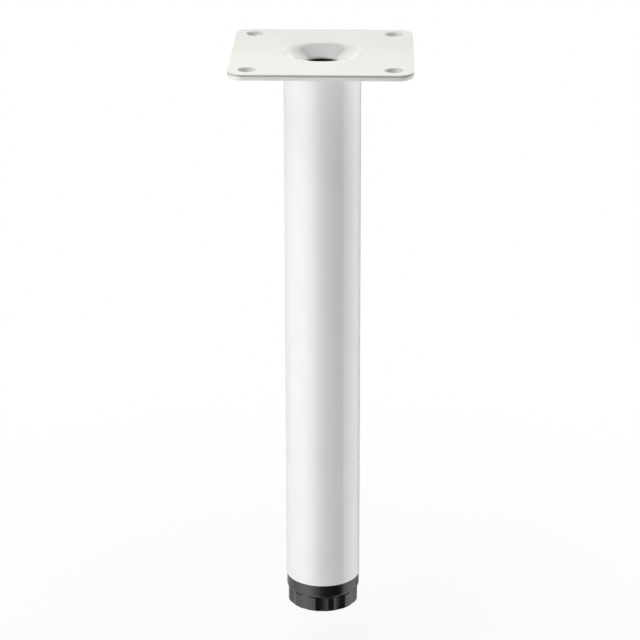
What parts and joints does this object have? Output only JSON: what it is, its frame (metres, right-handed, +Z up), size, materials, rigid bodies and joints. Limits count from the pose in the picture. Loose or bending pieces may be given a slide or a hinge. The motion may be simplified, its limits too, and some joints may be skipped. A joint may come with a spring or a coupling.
{
  "type": "furniture leg",
  "caption": "Round white steel tube leg with a square screw-on plate at the top and a fluted black foot that screws in and out to level the furniture.",
  "frame": {"origin": "on the floor under the middle of the leg, with the foot screwed right in", "axes": "+Z up along the tube, X and Y along the plate's sides"},
  "size_m": [0.07, 0.07, 0.2333],
  "materials": {
    "white_coat": "glossy powder coat",
    "black_plastic": "satin moulded",
    "zinc_steel": "bright zinc plated",
    "glide_plastic": "dull, slippery"
  },
  "bodies": {
    "leg": {"mounting_plate": "white_coat", "leg_tube": "white_coat", "weld_bead": "white_coat", "tube_insert": "black_plastic", "insert_nut": "zinc_steel"},
    "glide": {"floor_glide": "glide_plastic"},
    "foot": {"foot_knob": "black_plastic", "spindle": "zinc_steel"}
  },
  "joints": [
    {"name": "foot_travel", "type": "slide", "parent": "leg", "child": "glide", "axis": [0, 0, -1], "range_m": [0, 0.02]},
    {"name": "foot_turn", "type": "hinge", "parent": "glide", "child": "foot", "pos_m": [0, 0, 0], "axis": [0, 0, -1], "range_deg": [0, 4800]}
  ],
  "couplings": [
    {"joint": "foot_turn", "follows": "foot_travel", "rad_per_m": 4188.8}
  ]
}
